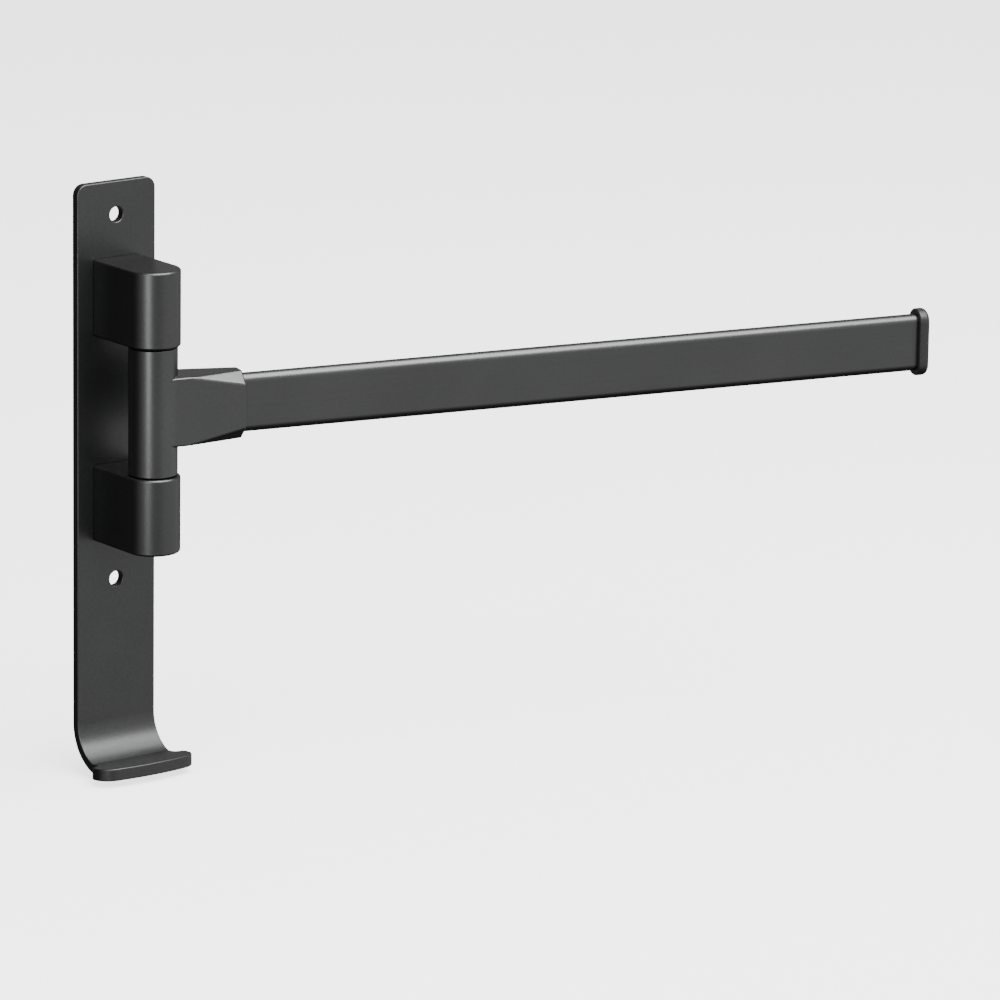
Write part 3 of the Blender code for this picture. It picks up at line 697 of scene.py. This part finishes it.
def new_finish(name, centre=(0, 0, 0), turn=0.0, stretch=(1, 1, 1)):
    """A material, its main shader and object coordinates about a centre, turned and stretched."""
    material = bpy.data.materials.new(name)
    material.use_nodes = True
    tree = material.node_tree
    shader = tree.nodes["Principled BSDF"]
    place = Field(tree, tree.nodes.new("ShaderNodeTexCoord").outputs["Object"])
    centred = place.node("Mapping", {}, {"Vector": place, "Location": [-value for value in centre]})
    turned = place.node("Mapping", {}, {"Vector": centred, "Rotation": (0, 0, turn), "Scale": stretch})
    return material, shader, turned


def noise(place, scale, detail=2.0, roughness=0.5):
    values = {"Vector": place, "Scale": scale, "Detail": detail, "Roughness": roughness}
    return place.node("TexNoise", {}, values)


def grey(value, tint=(1, 1, 1)):
    """A colour from one value, leaning slightly towards a tint."""
    parts = {"Red": value * tint[0], "Green": value * tint[1], "Blue": value * tint[2]}
    return value.node("CombineColor", {}, parts)


print("shader helpers: Field, new_finish, noise and grey")

# %% [markdown]
# ## The satin coating
# The real coating is a thin dark metallic film over blasted aluminium. Up close it has a fine even grain
# that breaks the highlights, and over the length of a piece its sheen drifts a little. So fine noise
# drives a small bump and part of the roughness, and broad noise drifts the roughness and the tone. The
# drawn bar also keeps faint lines along its length, which stretched noise gives.

# %% Coating materials
def coating(name, tone, sheen, grain=1.0, turn=0.0, lines=0.0, metal=1.0, centre=(0, 0, 0)):
    material, shader, place = new_finish(name, centre, turn)
    fine = noise(place, 2600, 3, 0.6)
    speck = noise(place, 900, 2)
    broad = noise(place, 22, 3)
    drawn = noise(place.node("Mapping", {}, {"Vector": place, "Scale": (7, 1300, 1300)}), 1, 2)
    shade = tone * (1 + 0.30 * (broad - 0.5) + 0.22 * grain * (speck - 0.5) + lines * (drawn - 0.5))
    grey(shade, (0.99, 1.0, 1.01)).into(shader, "Base Color")
    rough = sheen + 0.08 * (broad - 0.5) + 0.10 * grain * (fine - 0.5) + 0.5 * lines * (drawn - 0.5)
    rough.into(shader, "Roughness")
    height = fine + 0.6 * speck + lines * drawn
    bump = {"Height": height, "Strength": 0.18 * grain, "Distance": 0.00004}
    place.node("Bump", {}, bump).into(shader, "Normal")
    shader.inputs["Metallic"].default_value = metal
    return material


on_arm = {"turn": REST_SWING, "centre": PIVOT}
finishes = {
    "satin_charcoal_plate": coating("coated_plate", 0.078, 0.40, grain=1.2),
    "satin_charcoal_lug": coating("coated_lug", 0.085, 0.36),
    "satin_charcoal_socket": coating("coated_socket", 0.095, 0.33, **on_arm),
    "satin_charcoal_bar": coating("coated_bar", 0.095, 0.35, grain=0.7, lines=0.12, **on_arm),
}
finishes["moulded_charcoal_cap"] = coating("moulded_cap", 0.042, 0.38, grain=1.5, metal=0.6, centre=PIVOT)
print("coatings:", len(finishes))

# %% [markdown]
# ## The steel and the bushes
# The inner pieces show only through gaps, at the screw recesses and from behind. A wave texture gives the
# turned steel fine rings about the pin's axis. The same rings only run across the screws, which is too
# fine to tell on them. Blackened screws are dull and blotchy, and the acetal bushes are a smooth plastic
# with a faint cloudiness.

# %% Inner materials
def turned_steel(name, tone, sheen, rings):
    material, shader, place = new_finish(name, PIVOT)
    settings = {"wave_type": "RINGS", "rings_direction": "Z"}
    values = {"Vector": place, "Scale": rings, "Distortion": 1.5, "Detail": 2.0}
    wave = place.node("TexWave", settings, values)
    blotch = noise(place, 140, 3)
    grey(tone * (0.85 + 0.2 * blotch + 0.1 * wave), (1.0, 0.99, 0.97)).into(shader, "Base Color")
    (sheen + 0.10 * (blotch - 0.5) + 0.05 * wave).into(shader, "Roughness")
    place.node("Bump", {}, {"Height": wave, "Strength": 0.25, "Distance": 0.00002}).into(shader, "Normal")
    shader.inputs["Metallic"].default_value = 1.0
    return material


def moulded(name, tone, sheen):
    material, shader, place = new_finish(name, PIVOT)
    cloud = noise(place, 90, 3)
    fine = noise(place, 3000, 2)
    grey(tone * (0.85 + 0.3 * cloud)).into(shader, "Base Color")
    (sheen + 0.12 * (fine - 0.5) + 0.1 * (cloud - 0.5)).into(shader, "Roughness")
    place.node("Bump", {}, {"Height": fine, "Strength": 0.2, "Distance": 0.00003}).into(shader, "Normal")
    return material


finishes["bright_steel"] = turned_steel("turned_steel", 0.62, 0.24, 900)
finishes["spring_steel"] = turned_steel("spring_steel_strip", 0.40, 0.34, 500)
finishes["blackened_steel"] = turned_steel("blackened_screw", 0.07, 0.42, 1200)
finishes["black_acetal"] = moulded("black_bush", 0.03, 0.38)
print("finishes:", sorted(finishes))

# %% [markdown]
# ## Handing out the finishes
# A modelled piece names its slot, and a CAD node that is shown as it is has the slot's material on it.
# Either way the finish is looked up by the slot's name, so no piece is left plain.

# %% Every piece takes its finish
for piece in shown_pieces():
    slot = piece.get("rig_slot")
    if slot:
        piece.data.materials.clear()
        piece.data.materials.append(finishes[slot])
    else:
        for place in piece.material_slots:
            place.material = finishes[place.material.name]

# %% [markdown]
# ## Floor
# The rack stands over a plain pale floor just under the hook. To the camera the floor is pale and glows a
# little, so it stays bright far from the lights. To every other ray it is dark and doesn't glow, and
# reflections don't see it, so it doesn't light the rack from below and the bar's underside stays dark.

# %% Pale floor
bpy.ops.mesh.primitive_plane_add(size=60, location=(0, 0, cad_low.z - 0.002))
floor = bpy.context.object
floor.name = "floor"
floor.visible_glossy = False
floor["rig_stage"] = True
material, shader, place = new_finish("pale_floor")
FLOOR_TONE = 0.80
FLOOR_TONE_UNSEEN = 0.04
FLOOR_GLOW = 2.2
seen = place.node("LightPath", {}, {}, output="Is Camera Ray")
paper = noise(place, 400, 2)
tone = FLOOR_TONE_UNSEEN + (FLOOR_TONE - FLOOR_TONE_UNSEEN) * seen
grey(tone * (0.99 + 0.02 * paper)).into(shader, "Base Color")
grey(FLOOR_GLOW * seen * (0.995 + 0.01 * paper)).into(shader, "Emission Color")
shader.inputs["Emission Strength"].default_value = 1.0
shader.inputs["Roughness"].default_value = 0.9
shader.inputs["Specular IOR Level"].default_value = 0.0
floor.data.materials.append(material)

# %% [markdown]
# ## Lights and surroundings
# One wide soft light above and in front gives the bright band along the bar's rounded top. A tall narrow
# one at the left gives the upright highlights on the knuckle and lugs. The surroundings stand in for a
# studio's walls: bright on the right, half as bright at the front left, dim behind and nearly dark below,
# so the edges that face away fall to black. The camera itself sees only a plain pale backdrop.

# %% Soft lights and the surroundings
OVERHEAD_DISTANCE = 1.5
OVERHEAD_RADIANCE = 9.5
STRIP_DISTANCE = 0.68
STRIP_HEIGHT = 0.10
STRIP_RADIANCE = 6.6
RIGHT_GLOW = 0.92
LEFT_GLOW = 0.50
GLOW_BEHIND = 0.25
GLOW_EVERYWHERE = 0.06
PALE_BACKDROP = 0.97


def toward(azimuth, elevation):
    """The direction of an azimuth and elevation in degrees, from the front and turning right."""
    a, e = math.radians(azimuth), math.radians(elevation)
    return Vector((math.sin(a) * math.cos(e), -math.cos(a) * math.cos(e), math.sin(e)))


def soft_light(name, centre, target, width, height, radiance):
    light = bpy.data.lights.new(name, "AREA")
    light.shape = "RECTANGLE"
    light.size = width
    light.size_y = height
    light.energy = radiance * math.pi * width * height
    lamp = bpy.data.objects.new(name, light)
    bpy.context.scene.collection.objects.link(lamp)
    lamp.location = centre
    lamp.rotation_euler = (Vector(target) - Vector(centre)).to_track_quat("-Z", "Y").to_euler()
    lamp.visible_camera = False
    print(f"{name}: {light.energy:.1f} W")
    return lamp


middle_of_rack = (cad_low + cad_high) / 2
overhead_place = middle_of_rack + toward(12, 66) * OVERHEAD_DISTANCE
soft_light("overhead_softbox", overhead_place, middle_of_rack, 1.7, 1.4, OVERHEAD_RADIANCE)
strip_place = toward(-53, 0) * STRIP_DISTANCE + Vector((0, 0, STRIP_HEIGHT))
soft_light("left_strip", strip_place, (0, PIVOT.y, STRIP_HEIGHT), 0.20, 0.50, STRIP_RADIANCE)

world = bpy.context.scene.world or bpy.data.worlds.new("surroundings")
bpy.context.scene.world = world
world.use_nodes = True
background = world.node_tree.nodes["Background"]
sky = world.node_tree.nodes.new("ShaderNodeTexCoord")
direction = Field(world.node_tree, sky.outputs["Generated"])
across = direction.node("SeparateXYZ", {}, {"Vector": direction}, output="X")
depth = direction.node("SeparateXYZ", {}, {"Vector": direction}, output="Y")
height = direction.node("SeparateXYZ", {}, {"Vector": direction}, output="Z")
right_side = direction.node("MapRange", {}, {"Value": across, "From Min": -0.45, "From Max": 0.20})
not_below = direction.node("MapRange", {}, {"Value": height, "From Min": -0.80, "From Max": -0.25})
seen = direction.node("LightPath", {}, {}, output="Is Camera Ray")
left_side = direction.node("MapRange", {}, {"Value": across, "From Min": 0.0, "From Max": -0.45})
in_front = direction.node("MapRange", {}, {"Value": depth, "From Min": 0.30, "From Max": -0.10})
right_glow = RIGHT_GLOW * right_side * (GLOW_BEHIND + (1 - GLOW_BEHIND) * in_front)
left_glow = LEFT_GLOW * left_side * in_front
unseen_glow = GLOW_EVERYWHERE + (right_glow + left_glow) * not_below
(unseen_glow + seen * (PALE_BACKDROP - unseen_glow)).into(background, "Strength")
background.inputs["Color"].default_value = (1, 1, 1, 1)

# %% [markdown]
# ## Camera
# The camera is far off with a long lens, so the rack shows little perspective. It looks from the left and
# slightly from above, and it is rolled by less than a degree.

# %% Camera
AZIMUTH = -37.498
ELEVATION = 14.096
ROLL = math.radians(0.83)
LENS = 246.25
CAMERA_PLACE = (-1.404894, -2.071612, 0.589337)
camera_data = bpy.data.cameras.new("camera")
camera_data.sensor_width = 36
camera_data.lens = LENS
camera = bpy.data.objects.new("camera", camera_data)
bpy.context.scene.collection.objects.link(camera)
bpy.context.scene.camera = camera
back = toward(AZIMUTH, ELEVATION)
right = Vector((math.cos(math.radians(AZIMUTH)), math.sin(math.radians(AZIMUTH)), 0))
up = back.cross(right)
rolled_right = right * math.cos(ROLL) + up * math.sin(ROLL)
rolled_up = up * math.cos(ROLL) - right * math.sin(ROLL)
turn = Matrix((rolled_right, rolled_up, back)).transposed()
camera.matrix_world = Matrix.Translation(CAMERA_PLACE) @ turn.to_4x4()
print("camera at", [round(v, 3) for v in camera.location])

# %% [markdown]
# ## The box at the end
# The visual model keeps to the CAD's box, within a few hundredths of a millimetre. The CAD box's size is
# printed at the start, and the last line prints how far the visual box lies past it.

# %% Measure and finish
low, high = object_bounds()
grown = [round(v * 1000, 2) for v in (*(cad_low - low), *(high - cad_high))]
print("visual box past the CAD box, low then high:", grown, "mm")
